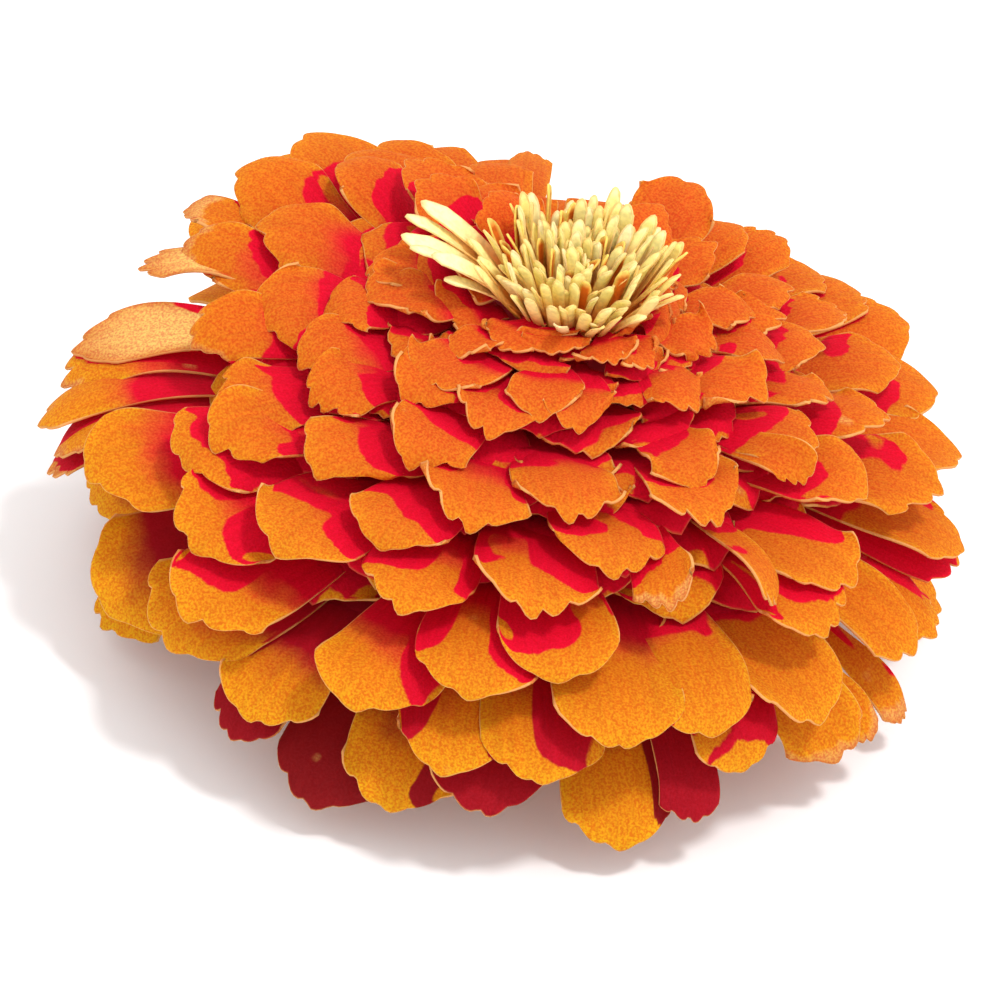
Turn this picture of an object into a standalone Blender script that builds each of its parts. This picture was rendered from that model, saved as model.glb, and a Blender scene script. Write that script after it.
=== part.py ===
"""A large double zinnia bloom, picked close under its head.

The head sits upright. Its petals are laid in a golden-angle spiral over a dome, the oldest
ones drooping to the surface, and a short cut stem under the green cup carries it.
Units are metres, +Z is up the stem, and the origin is the centre of the stem's cut end.
"""

import math
import random

import bmesh
import bpy
from mathutils import Vector

MM = 0.001
GAP = 0.3 * MM  # clearance between neighbouring pieces
GOLDEN_ANGLE = math.radians(137.508)

# Orange petals, from the crown (share 0) to the lowest whorl (share 1)
PETAL_COUNT = 144
PETAL_THICKNESS = 0.7 * MM
SHARES = (0.00, 0.14, 0.33, 0.54, 0.73, 0.90, 1.00)
TIP_RADIUS = (14.8, 23.0, 34.6, 45.6, 53.5, 52.5, 50.0)  # mm
TIP_HEIGHT = (48.6, 44.5, 39.4, 34.0, 24.4, 12.0, 0.5)  # mm
ROOT_RADIUS = (10.6, 12.2, 14.4, 15.6, 16.0, 15.8, 15.2)  # mm
ROOT_HEIGHT = (42.6, 41.0, 36.6, 31.6, 28.0, 25.4, 24.2)  # mm
ROOT_PITCH = (62.0, 32.0, 15.0, 6.0, 0.0, -6.0, -10.0)  # degrees above level, leaving the core
TIP_PITCH = (-34.0, -50.0, -58.0, -62.0, -68.0, -80.0, -88.0)  # degrees above level, at the tip
HALF_WIDTH = (4.6, 5.4, 6.3, 6.9, 7.2, 7.2, 6.8)  # mm, at the widest
ROOT_HANDLE = 0.38  # share of a petal's chord that its curve keeps to the pitch at the root
TIP_HANDLE = 0.27  # and at the tip
PETAL_COLUMNS = 3
PETAL_STATIONS = (0.0, 0.46, 0.80, 1.0)  # shares of a petal's length where its sheet has a row
CROWN_SHARE = 0.34  # the short petals up to this share have plainer sheets
CROWN_COLUMNS = 2
CROWN_STATIONS = (0.0, 0.72, 1.0)
WIDEST = 0.78  # share of its length where a petal is widest
CLAW_SHARE = 0.26  # a petal's width at its root, as a share of its widest
TIP_SHARE = 0.52  # its width at the tip's corners
SHOULDER_PULL = 0.07  # how far the tip's corners stand back, as a share of the length
NOTCH_DEPTH = 0.03  # depth of the uneven notch in the tip, as a share of the length

# How much single petals differ, each way from the rule
PETAL_SEED = 11
LIFT_SPREAD = 8.0  # degrees of the tip's pitch
REACH_SPREAD = 1.4  # mm of length
TURN_SPREAD = 3.0  # degrees of azimuth
SWEEP_SPREAD = 1.6  # mm that the tip bends sideways
ROLL_SPREAD = 6.0  # degrees of twist at the tip
CUP_DEPTH = 0.10  # droop of the long edges, as a share of the half width
CUP_SPREAD = 0.10
BROAD_SPREAD = 0.08  # share of the half width

# The petals reach further out on one side of the head
LONG_SIDE = math.radians(185.0)  # azimuth of that side
LONG_REACH = 3.6  # mm more there, and less on the other side

# The crown is lopsided: its rim stands up in two places, a broad one and a single petal, and
# dips between them. Each lobe: azimuth in degrees, focus (larger is narrower), rise in mm
CROWN_LOBES = ((146.0, 7, 6.0), (112.0, 40, -2.5), (88.0, 60, -4.0), (70.0, 90, 5.0))
LOBE_ROOT_PITCH = 3.6  # degrees more at the root for each mm of rise
LOBE_TIP_PITCH = 7.0  # degrees more at the tip for each mm of rise
LOBE_SHARES = (0.42, 0.66)  # whole up to the first share, none past the second

# A few old petals on the long side have turned over as they dried
CURL_SIDE = math.radians(176.0)
CURL_REACH = math.radians(16.0)  # azimuth each way
CURL_SHARES = (0.40, 0.70)
CURL_TWIST = math.radians(62.0)

# Core that the petals stand out of; its side follows their roots
ROOT_SINK = 3.0  # mm that a root lies under the core's surface
CORE_TOP = 45.0 * MM
CORE_TOP_RADIUS = 10.6 * MM
CORE_BOTTOM = 22.0 * MM
CORE_BOTTOM_RADIUS = 13.0 * MM
CORE_SIDES = 16

# Yellow florets in the centre, on a low domed disc
FLORET_COUNT = 46
FLORET_SIDES = 5
FLORET_HEIGHT = (8.5 * MM, 10.0 * MM)  # at the middle and at the rim
FLORET_HEIGHT_SPREAD = 0.12  # share of the height, each way
FLORET_HALF_WIDTH = 1.3 * MM
FLORET_BASE_SHARE = 0.6  # its width at the root, as a share of the width at the mouth
FLORET_FLATNESS = 0.62  # its depth, as a share of its width
FLORET_LEAN = math.radians(30.0)  # outward lean of the rim florets
FLORET_LEAN_SPREAD = math.radians(5.0)
FLORET_SINK = 0.5 * MM  # height of the florets' roots over the disc's underside
FLORET_SEED = 5
DISC_BASE = CORE_TOP + GAP
DISC_RADIUS = 9.6 * MM
DISC_RISE = 2.0 * MM
DISC_SIDES = 20

# Green cup of bracts
CUP_TOP = CORE_BOTTOM - GAP
CUP_BOTTOM = 9.0 * MM
CUP_RADIUS = 11.0 * MM
CUP_NECK = 4.6 * MM
CUP_STEPS = 5
CUP_SIDES = 26
BRACT_ROWS = 3
BRACTS_PER_ROW = 11
BRACT_LENGTH = 7.0 * MM
BRACT_THICKNESS = 0.8 * MM
BRACT_HALF_WIDTH = (2.1 * MM, 2.5 * MM, 3.0 * MM)  # lowest row first
BRACT_LIFT = (-0.3 * MM, 0.8 * MM)  # how far it stands off the cup, at its root and tip
BRACT_ROUNDING = 0.22  # how far its corners stand back, as a share of its length

# Cut stem
STEM_TOP = CUP_BOTTOM - GAP
STEM_RADIUS = 3.4 * MM
STEM_FLARE = 1.12  # its radius under the cup, as a share of the radius at the cut
STEM_RIBS = 8
STEM_RIB_RISE = 0.07  # share of the radius, each way

SHARP_ANGLE = math.radians(40.0)  # edges sharper than this stay sharp in the shading

COLOURS = {
    "petal": (0.82, 0.16, 0.02, 1.0),
    "floret": (0.90, 0.74, 0.24, 1.0),
    "cup": (0.16, 0.24, 0.06, 1.0),
    "stem": (0.22, 0.34, 0.10, 1.0),
}


def clear_scene():
    for obj in list(bpy.data.objects):
        bpy.data.objects.remove(obj)


def new_collection(name):
    collection = bpy.data.collections.new(name)
    bpy.context.scene.collection.children.link(collection)
    return collection


def plant_material(name, colour, roughness):
    material = bpy.data.materials.new(name)
    material.use_nodes = True
    shader = material.node_tree.nodes["Principled BSDF"]
    shader.inputs["Base Color"].default_value = colour
    shader.inputs["Roughness"].default_value = roughness
    shader.inputs["Metallic"].default_value = 0.0
    return material


def along_rows(values, share):
    """The value of a whorl dimension at a share of the way from the crown to the lowest whorl."""
    for low, high, start, end in zip(SHARES, SHARES[1:], values, values[1:]):
        if share <= high:
            return start + (end - start) * (share - low) / (high - low)
    return values[-1]


def cubic(knots, t):
    """A point on the Bezier curve of four knots."""
    a, b, c, d = knots
    s = 1.0 - t
    return a * s**3 + b * 3 * s * s * t + c * 3 * s * t * t + d * t**3


def cubic_slope(knots, t):
    a, b, c, d = knots
    s = 1.0 - t
    return (b - a) * 3 * s * s + (c - b) * 6 * s * t + (d - c) * 3 * t * t


def crown_rise(azimuth, share):
    """How far the crown's lobes raise a petal's tip, in millimetres."""
    whole, none = LOBE_SHARES
    fade = min(1.0, max(0.0, (none - share) / (none - whole)))
    rise = 0.0
    for side, focus, height in CROWN_LOBES:
        rise += height * max(0.0, math.cos(azimuth - math.radians(side))) ** focus
    return rise * fade


def is_curled(azimuth, share):
    """Whether a petal is one of the old ones that have turned over."""
    away = math.remainder(azimuth - CURL_SIDE, math.tau)
    return abs(away) < CURL_REACH and CURL_SHARES[0] < share < CURL_SHARES[1]


def petal_facts(index, dice):
    """Where one petal grows and how it bends; lengths in metres, angles in radians."""
    share = (index + 0.5) / PETAL_COUNT
    lift, reach, turn, sweep, roll, cup, broad = (dice.uniform(-1.0, 1.0) for _ in range(7))
    azimuth = index * GOLDEN_ANGLE + math.radians(TURN_SPREAD) * turn
    rise = crown_rise(azimuth, share)
    root = Vector((along_rows(ROOT_RADIUS, share), along_rows(ROOT_HEIGHT, share)))
    tip = Vector((along_rows(TIP_RADIUS, share), along_rows(TIP_HEIGHT, share)))
    root_pitch = math.radians(along_rows(ROOT_PITCH, share) + LOBE_ROOT_PITCH * rise)
    tip_pitch = along_rows(TIP_PITCH, share) + LIFT_SPREAD * lift + LOBE_TIP_PITCH * rise
    tip_pitch = math.radians(tip_pitch)
    start = Vector((math.cos(root_pitch), math.sin(root_pitch)))
    outward = Vector((math.cos(tip_pitch), math.sin(tip_pitch)))
    tip += outward * REACH_SPREAD * reach
    tip.x += LONG_REACH * math.cos(azimuth - LONG_SIDE) * math.sin(math.pi * share)
    tip.y += rise
    chord = (tip - root).length
    knots = [root, root + start * chord * ROOT_HANDLE, tip - outward * chord * TIP_HANDLE, tip]
    twist = math.radians(ROLL_SPREAD) * roll
    if is_curled(azimuth, share):
        twist += CURL_TWIST
    return {
        "azimuth": azimuth,
        "knots": [knot * MM for knot in knots],
        "half_width": along_rows(HALF_WIDTH, share) * (1.0 + BROAD_SPREAD * broad) * MM,
        "sweep": SWEEP_SPREAD * MM * sweep,
        "twist": twist,
        "cup": CUP_DEPTH + CUP_SPREAD * cup,
        "notch_side": turn,
    }


def petal_width(along):
    """Half width at a share of the length, as a share of the widest: claw, blade, rounded tip."""
    if along < WIDEST:
        return CLAW_SHARE + (1.0 - CLAW_SHARE) * math.sin(0.5 * math.pi * along / WIDEST)
    return 1.0 - (1.0 - TIP_SHARE) * (along - WIDEST) / (1.0 - WIDEST)


def petal_point(facts, across, along):
    """A point of the petal's sheet; across runs from -1 to 1 and along from the root to the tip."""
    notch = NOTCH_DEPTH * (1.0 - across**2) * (1.0 + 2.0 * across * facts["notch_side"])
    reached = along - (notch + SHOULDER_PULL * across**2) * along**8
    middle = cubic(facts["knots"], reached)
    slope = cubic_slope(facts["knots"], reached).normalized()
    over = Vector((-slope.y, slope.x))
    width = facts["half_width"] * petal_width(along)
    twist = facts["twist"] * along
    side = across * width * math.cos(twist) + facts["sweep"] * along**2
    place = middle + over * (across * width * math.sin(twist) - facts["cup"] * width * across**2)
    turn = facts["azimuth"]
    return Vector(
        (
            place.x * math.cos(turn) - side * math.sin(turn),
            place.x * math.sin(turn) + side * math.cos(turn),
            place.y,
        )
    )


def sheet_object(name, columns, rows, shape, thickness, collection):
    """A grid bent by shape(across, along), given its thickness by Solidify.

    The sheet is split into triangles first, so that both faces of the blade are split alike.
    """
    mesh = bpy.data.meshes.new(name)
    sheet = bmesh.new()
    bmesh.ops.create_grid(sheet, x_segments=columns, y_segments=rows, size=1.0)
    for vert in sheet.verts:
        vert.co = shape(vert.co.x, 0.5 + 0.5 * vert.co.y)
    bmesh.ops.triangulate(sheet, faces=sheet.faces)
    sheet.to_mesh(mesh)
    sheet.free()
    obj = bpy.data.objects.new(name, mesh)
    collection.objects.link(obj)
    wall = obj.modifiers.new("Thickness", "SOLIDIFY")
    wall.thickness = thickness
    wall.offset = 0.0
    return obj


def turned_object(name, profile, sides, collection):
    """A solid of revolution; the profile runs down its outer side, axis to axis."""
    mesh = bpy.data.meshes.new(name)
    line = bmesh.new()
    verts = [line.verts.new((radius, 0.0, height)) for radius, height in profile]
    for start, end in zip(verts, verts[1:]):
        line.edges.new((start, end))
    line.to_mesh(mesh)
    line.free()
    obj = bpy.data.objects.new(name, mesh)
    collection.objects.link(obj)
    screw = obj.modifiers.new("Turn", "SCREW")
    screw.steps = sides
    screw.render_steps = sides
    screw.use_merge_vertices = True
    screw.merge_threshold = 0.01 * MM
    return obj


def applied(obj, name, material, collection):
    """A plain mesh object with obj's modifiers applied; obj itself is removed."""
    graph = bpy.context.evaluated_depsgraph_get()
    mesh = bpy.data.meshes.new_from_object(obj.evaluated_get(graph))
    mesh.name = name
    mesh.materials.clear()
    mesh.materials.append(material)
    bpy.data.objects.remove(obj)
    made = bpy.data.objects.new(name, mesh)
    collection.objects.link(made)
    return made


def fused(core, repeats, name, material, collection):
    """The core and every object of the repeats collection joined into one body."""
    union = core.modifiers.new("Grow together", "BOOLEAN")
    union.operation = "UNION"
    union.operand_type = "COLLECTION"
    union.collection = repeats
    union.solver = "MANIFOLD"
    made = applied(core, name, material, collection)
    for obj in list(repeats.objects):
        bpy.data.objects.remove(obj)
    bpy.data.collections.remove(repeats)
    return made


def make_petals(bloom):
    """Every orange petal, fused to the domed core."""
    dice = random.Random(PETAL_SEED)
    repeats = new_collection("petal blades")
    for index in range(PETAL_COUNT):
        facts = petal_facts(index, dice)
        in_crown = index < CROWN_SHARE * PETAL_COUNT
        columns = CROWN_COLUMNS if in_crown else PETAL_COLUMNS
        stations = CROWN_STATIONS if in_crown else PETAL_STATIONS
        rows = len(stations) - 1

        def shape(across, along, facts=facts, stations=stations, rows=rows):
            return petal_point(facts, across, stations[round(along * rows)])

        name = f"petal blade {index}"
        sheet_object(name, columns, rows, shape, PETAL_THICKNESS, repeats)
    profile = [(0.0, CORE_TOP), (CORE_TOP_RADIUS, CORE_TOP)]
    for radius, height, pitch in zip(ROOT_RADIUS, ROOT_HEIGHT, ROOT_PITCH):
        lean = math.radians(pitch)
        out = radius + ROOT_SINK * math.cos(lean)
        profile.append((out * MM, (height + ROOT_SINK * math.sin(lean)) * MM))
    profile += [(CORE_BOTTOM_RADIUS, CORE_BOTTOM), (0.0, CORE_BOTTOM)]
    core = turned_object("core", profile, CORE_SIDES, bpy.context.scene.collection)
    material = plant_material("petal", COLOURS["petal"], 0.55)
    return fused(core, repeats, "ray_petals", material, bloom)


def floret_tube(index, dice):
    """The mesh of one floret, a flattened five-sided tube that flares to its mouth."""
    share = math.sqrt((index + 0.5) / FLORET_COUNT)
    azimuth = index * GOLDEN_ANGLE
    outward = Vector((math.cos(azimuth), math.sin(azimuth), 0.0))
    height = FLORET_HEIGHT[0] + (FLORET_HEIGHT[1] - FLORET_HEIGHT[0]) * share
    height *= 1.0 + FLORET_HEIGHT_SPREAD * dice.uniform(-1.0, 1.0)
    lean = FLORET_LEAN * share**1.5 + FLORET_LEAN_SPREAD * dice.uniform(-1.0, 1.0)
    axis = outward * math.sin(lean) + Vector((0.0, 0.0, 1.0)) * math.cos(lean)
    root = outward * share * (DISC_RADIUS - 1.5 * FLORET_HALF_WIDTH)
    root.z = DISC_BASE + FLORET_SINK
    tube = bmesh.new()
    bmesh.ops.create_cone(
        tube,
        cap_ends=True,
        segments=FLORET_SIDES,
        radius1=FLORET_HALF_WIDTH * FLORET_BASE_SHARE,
        radius2=FLORET_HALF_WIDTH,
        depth=height,
    )
    bmesh.ops.scale(tube, verts=tube.verts, vec=(1.0, FLORET_FLATNESS, 1.0))
    bmesh.ops.translate(tube, verts=tube.verts, vec=(0.0, 0.0, height / 2))
    turn = axis.to_track_quat("Z", "Y").to_matrix()
    bmesh.ops.rotate(tube, verts=tube.verts, cent=(0.0, 0.0, 0.0), matrix=turn)
    bmesh.ops.translate(tube, verts=tube.verts, vec=root)
    mesh = bpy.data.meshes.new(f"floret tube {index}")
    tube.to_mesh(mesh)
    tube.free()
    return mesh


def make_florets(bloom):
    """The yellow tube florets of the centre, fused to their low domed disc."""
    dice = random.Random(FLORET_SEED)
    repeats = new_collection("floret tubes")
    for index in range(FLORET_COUNT):
        mesh = floret_tube(index, dice)
        repeats.objects.link(bpy.data.objects.new(mesh.name, mesh))
    profile = [
        (0.0, DISC_BASE + DISC_RISE),
        (DISC_RADIUS * 0.6, DISC_BASE + DISC_RISE * 0.8),
        (DISC_RADIUS, DISC_BASE + DISC_RISE * 0.3),
        (DISC_RADIUS, DISC_BASE),
        (0.0, DISC_BASE),
    ]
    disc = turned_object("disc", profile, DISC_SIDES, bpy.context.scene.collection)
    material = plant_material("floret", COLOURS["floret"], 0.5)
    return fused(disc, repeats, "disc_florets", material, bloom)


def cup_skin(up):
    """The cup's radius at a share of the way from its bottom to its top."""
    return CUP_NECK + (CUP_RADIUS - CUP_NECK) * math.sin(0.5 * math.pi * up)


def bract_point(row, azimuth, across, along):
    """A point of a bract's sheet, which follows the cup and stands off it towards its tip."""
    cup_height = CUP_TOP - CUP_BOTTOM
    up = min(1.0, row / BRACT_ROWS + along * BRACT_LENGTH / cup_height)
    lift = BRACT_LIFT[0] + (BRACT_LIFT[1] - BRACT_LIFT[0]) * along**2
    radius = cup_skin(up) + lift
    side = across * BRACT_HALF_WIDTH[row] * math.sqrt(1.0 - 0.75 * along**4)
    turn = azimuth + side / cup_skin(up)
    rise = CUP_BOTTOM + up * cup_height - BRACT_ROUNDING * across**2 * along * BRACT_LENGTH
    return Vector((radius * math.cos(turn), radius * math.sin(turn), rise))


def make_involucre(bloom):
    """The green cup under the head, tiled with rounded bracts in rows."""
    repeats = new_collection("bracts")
    for row in range(BRACT_ROWS):
        for index in range(BRACTS_PER_ROW):
            azimuth = math.tau * (index + 0.5 * (row % 2)) / BRACTS_PER_ROW

            def shape(across, along, row=row, azimuth=azimuth):
                return bract_point(row, azimuth, across, along)

            sheet_object(f"bract {row} {index}", 2, 2, shape, BRACT_THICKNESS, repeats)
    profile = [(0.0, CUP_TOP)]
    for step in range(CUP_STEPS + 1):
        up = 1.0 - step / CUP_STEPS
        profile.append((cup_skin(up), CUP_BOTTOM + up * (CUP_TOP - CUP_BOTTOM)))
    profile.append((0.0, CUP_BOTTOM))
    cup = turned_object("cup", profile, CUP_SIDES, bpy.context.scene.collection)
    material = plant_material("cup", COLOURS["cup"], 0.6)
    return fused(cup, repeats, "involucre", material, bloom)


def make_stem(bloom):
    """The short ribbed stem, cut square at the bottom."""
    stalk = bmesh.new()
    bmesh.ops.create_cone(
        stalk,
        cap_ends=True,
        segments=STEM_RIBS * 2,
        radius1=STEM_RADIUS,
        radius2=STEM_RADIUS * STEM_FLARE,
        depth=STEM_TOP,
    )
    bmesh.ops.translate(stalk, verts=stalk.verts, vec=(0.0, 0.0, STEM_TOP / 2))
    for vert in stalk.verts:
        turn = math.atan2(vert.co.y, vert.co.x)
        rib = 1.0 + STEM_RIB_RISE * math.cos(STEM_RIBS * turn)
        vert.co.x *= rib
        vert.co.y *= rib
    mesh = bpy.data.meshes.new("stem")
    stalk.to_mesh(mesh)
    stalk.free()
    mesh.materials.append(plant_material("stem", COLOURS["stem"], 0.65))
    stem = bpy.data.objects.new("stem", mesh)
    bloom.objects.link(stem)
    return stem


def main():
    clear_scene()
    bloom = new_collection("zinnia bloom")
    for piece in (make_petals(bloom), make_florets(bloom), make_involucre(bloom), make_stem(bloom)):
        piece.data.shade_smooth()
        piece.data.set_sharp_from_angle(angle=SHARP_ANGLE)


main()
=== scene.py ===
import math
import random

import bmesh
import bpy
import numpy as np
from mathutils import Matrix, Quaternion, Vector
from mathutils.bvhtree import BVHTree


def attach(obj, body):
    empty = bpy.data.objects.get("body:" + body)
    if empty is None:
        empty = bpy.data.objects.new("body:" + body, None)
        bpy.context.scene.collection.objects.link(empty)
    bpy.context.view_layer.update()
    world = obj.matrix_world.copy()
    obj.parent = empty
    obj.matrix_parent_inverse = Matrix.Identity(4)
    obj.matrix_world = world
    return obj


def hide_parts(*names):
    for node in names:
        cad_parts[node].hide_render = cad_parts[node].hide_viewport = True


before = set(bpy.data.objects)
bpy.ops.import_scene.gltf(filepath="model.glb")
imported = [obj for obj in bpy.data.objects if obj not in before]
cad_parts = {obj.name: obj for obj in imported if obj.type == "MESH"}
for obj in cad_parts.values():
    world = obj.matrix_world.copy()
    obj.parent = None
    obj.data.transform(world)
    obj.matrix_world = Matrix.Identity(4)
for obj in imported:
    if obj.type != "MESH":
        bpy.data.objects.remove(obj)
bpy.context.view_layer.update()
mm = 0.001
goldenAngle = math.radians(137.508)
gridEdge = 0.99  # past this, a point of a sheet's grid is on its rim
scene = bpy.context.scene
scene.view_settings.view_transform = "Standard"  # keeps the oranges as strong as in the photo
print("frame loaded:", sorted(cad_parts))


# Small helpers shared by the pieces

def clamped(value):
    return min(1.0, max(0.0, value))


def finishedPiece(name, bm, materials, node):
    mesh = bpy.data.meshes.new(name)
    bm.to_mesh(mesh)
    bm.free()
    for material in materials:
        mesh.materials.append(material)
    for face in mesh.polygons:
        face.use_smooth = True
    piece = bpy.data.objects.new(name, mesh)
    scene.collection.objects.link(piece)
    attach(piece, "root")
    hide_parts(node)
    return piece


def giveThickness(piece, thickness):
    # the back of the sheet takes the second material and its rim the third
    skin = piece.modifiers.new("thickness", "SOLIDIFY")
    skin.thickness = thickness
    skin.offset = -1.0
    skin.material_offset = 1
    skin.material_offset_rim = 2


def newFinish(name, roughness, specular=0.5):
    material = bpy.data.materials.new(name)
    material.use_nodes = True
    shader = material.node_tree.nodes["Principled BSDF"]
    shader.inputs["Roughness"].default_value = roughness
    shader.inputs["Specular IOR Level"].default_value = specular
    return material, material.node_tree, shader


def newNode(tree, kind, settings=None, **inputs):
    made = tree.nodes.new(kind)
    for key, value in (settings or {}).items():
        setattr(made, key, value)
    for key, value in inputs.items():
        made.inputs[key].default_value = value
    return made


def fillSockets(tree, made, values):
    # each value goes to the numbered input, as a link if it is a socket
    for place, value in values:
        if isinstance(value, bpy.types.NodeSocket):
            tree.links.new(value, made.inputs[place])
        elif value is not None:
            made.inputs[place].default_value = value


def blendColour(tree, amount, first, second, kind="MIX"):
    settings = {"data_type": "RGBA", "clamp_factor": True, "blend_type": kind}
    mix = newNode(tree, "ShaderNodeMix", settings)
    fillSockets(tree, mix, ((0, amount), (6, first), (7, second)))
    return mix.outputs[2]


def sums(tree, operation, first, second=None, third=None):
    calc = newNode(tree, "ShaderNodeMath", {"operation": operation})
    fillSockets(tree, calc, enumerate((first, second, third)))
    return calc.outputs[0]


def rampOf(tree, socket, stops):
    ramp = newNode(tree, "ShaderNodeValToRGB")
    points = ramp.color_ramp.elements
    while len(points) < len(stops):
        points.new(0.5)
    for point, (place, colour) in zip(points, stops):
        point.position = place
        point.color = colour
    tree.links.new(socket, ramp.inputs[0])
    return ramp.outputs[0]


def greyRamp(tree, socket, low, high, dark=0.0, pale=1.0):
    stops = ((low, (dark, dark, dark, 1.0)), (high, (pale, pale, pale, 1.0)))
    return rampOf(tree, socket, stops)


def attributeOf(tree, name):
    return newNode(tree, "ShaderNodeAttribute", {"attribute_name": name}).outputs["Fac"]


def objectPlace(tree):
    return newNode(tree, "ShaderNodeTexCoord").outputs["Object"]


def noiseOf(tree, vector, scale, detail=2.0):
    noise = newNode(tree, "ShaderNodeTexNoise", Scale=scale, Detail=detail)
    tree.links.new(vector, noise.inputs["Vector"])
    return noise.outputs["Fac"]


def sheetPlace(tree):
    # a sheet's own map, whole and as its parts: X across the sheet, Y along it
    sheetMap = newNode(tree, "ShaderNodeUVMap", {"uv_map": "UVMap"})
    parts = newNode(tree, "ShaderNodeSeparateXYZ")
    tree.links.new(sheetMap.outputs[0], parts.inputs[0])
    return sheetMap.outputs[0], parts.outputs["X"], parts.outputs["Y"]


def stretched(tree, vector, scale):
    mapping = newNode(tree, "ShaderNodeMapping")
    mapping.inputs["Scale"].default_value = scale
    tree.links.new(vector, mapping.inputs[0])
    return mapping


def addRelief(tree, shader, height, strength):
    bump = newNode(tree, "ShaderNodeBump", Strength=strength, Distance=0.2 * mm)
    tree.links.new(height, bump.inputs["Height"])
    tree.links.new(bump.outputs[0], shader.inputs["Normal"])


# The camera, at the photograph's angle

cameraAim = {
    "elevation": 38.0,  # degrees above the horizon
    "roll": 8.0,
    "distance": 1.2,  # m
    "pixelsPerMm": 8.5,
    "photoSide": 1000.0,  # pixels
    "sensor": 36.0,
    "right": -2.9,  # mm from the stem's axis
    "height": 16.15,  # mm above the surface
    "farthest": 20.0,  # m
}


def makeCamera():
    tilt = math.radians(cameraAim["elevation"])
    back = Vector((0.0, -math.cos(tilt), math.sin(tilt)))
    data = bpy.data.cameras.new("photoCamera")
    data.sensor_width = cameraAim["sensor"]
    across = cameraAim["photoSide"] * mm / cameraAim["pixelsPerMm"]  # what the picture spans at the flower
    data.lens = cameraAim["sensor"] * cameraAim["distance"] / across
    data.clip_end = cameraAim["farthest"]
    camera = bpy.data.objects.new("photoCamera", data)
    camera.rotation_mode = "QUATERNION"
    roll = Quaternion((0.0, 0.0, 1.0), math.radians(cameraAim["roll"]))
    camera.rotation_quaternion = (-back).to_track_quat("-Z", "Y") @ roll
    aim = camera.rotation_quaternion @ Vector((cameraAim["right"] * mm, 0.0, 0.0))
    aim.z += cameraAim["height"] * mm
    camera.location = aim + back * cameraAim["distance"]
    scene.collection.objects.link(camera)
    scene.camera = camera


makeCamera()
print("camera set")


# Petals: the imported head's own rule, drawn with a fine sheet for each petal

headForm = {
    "petals": 170,  # in the whole spiral
    "room": (14.0, 7.5),  # mm from a tip read from the photo to a full petal of the spiral, near and far
    "roomFrom": (0.3, 0.8),  # how far round to the back the near side ends and the far one starts
    "inner": 0.36,  # share by which the spiral's other petals, hidden between the layers, are shorter
    "seed": 11,
    "shares": (0.0, 0.14, 0.33, 0.54, 0.73, 0.90, 1.0),  # from the crown to the lowest whorl
    "tipRadius": (13.0, 23.0, 34.6, 45.6, 53.5, 52.5, 50.0),
    "tipHeight": (48.6, 44.5, 39.4, 34.0, 24.4, 12.0, 0.5),
    "rootRadius": (7.2, 9.4, 11.6, 13.0, 13.8, 14.0, 13.6),
    "rootHeight": (48.2, 44.4, 37.2, 31.2, 27.0, 24.2, 21.6),
    "rootPitch": (16.0, 12.0, 8.0, 3.0, -2.0, -8.0, -14.0),
    "tipPitch": (-42.0, -60.0, -70.0, -72.0, -76.0, -84.0, -88.0),
    "halfWidth": (4.6, 4.9, 5.6, 6.3, 6.8, 6.8, 6.5),
    "rootHandle": 0.38,  # share of the length over which a petal keeps its pitch at the root
    "tipHandle": (0.40, 7.0, 1.5),  # the same at the tip, its most in mm, and more of that on the left
    "leftTwist": 19.0,  # degrees by which the petals on the left turn their faces to the front
    "leftRoot": 7.0,  # degrees by which they start lower
    "leftSide": 200.0,  # degrees
    "loose": 0.3,  # share from which petals twist and swing in full
    "crownShift": (2.6, 0.33),  # mm by which the tuft sits to the right, and the share where that ends
    "hangPitch": (3.2, 4.0),  # degrees for each mm that an old petal hangs, at its tip and at its root
    "standOut": 36.0,  # degrees by which the tips at the right and on the far side droop less
    "standSide": (0.35, 0.75, 40.0),  # how much they stand, how that changes round the head, and its turn
    "slim": 0.22,  # how much narrower those petals are
    "lift": 8.0,  # degrees by which one tip droops more or less than the next
    "reach": 1.4,  # mm by which one petal is longer or shorter than the next
    "swing": 3.0,  # mm by which a root sits beside its petal's line
    "sweep": 1.6,  # mm by which a tip does
    "roll": 9.0,  # degrees
    "cup": (0.06, 0.16),  # how hollow a petal is, and how much that varies
    "broad": 0.08,  # how much broader or narrower than the next
    "longSide": 185.0,  # degrees, where the head reaches further out
    "longReach": 3.6,  # mm
    # tufts and dips of the crown: side in degrees, how narrow, height in mm
    "lobes": ((146.0, 7, 5.0), (112.0, 40, -1.5), (84.0, 26, -7.0), (62.0, 90, 4.5)),
    "lobeRootPitch": 3.0,  # degrees for each mm of such a height
    "lobeTipPitch": 5.0,
    "lobeShares": (0.60, 0.84),  # the share where they start to fade, and where they end
}

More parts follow.
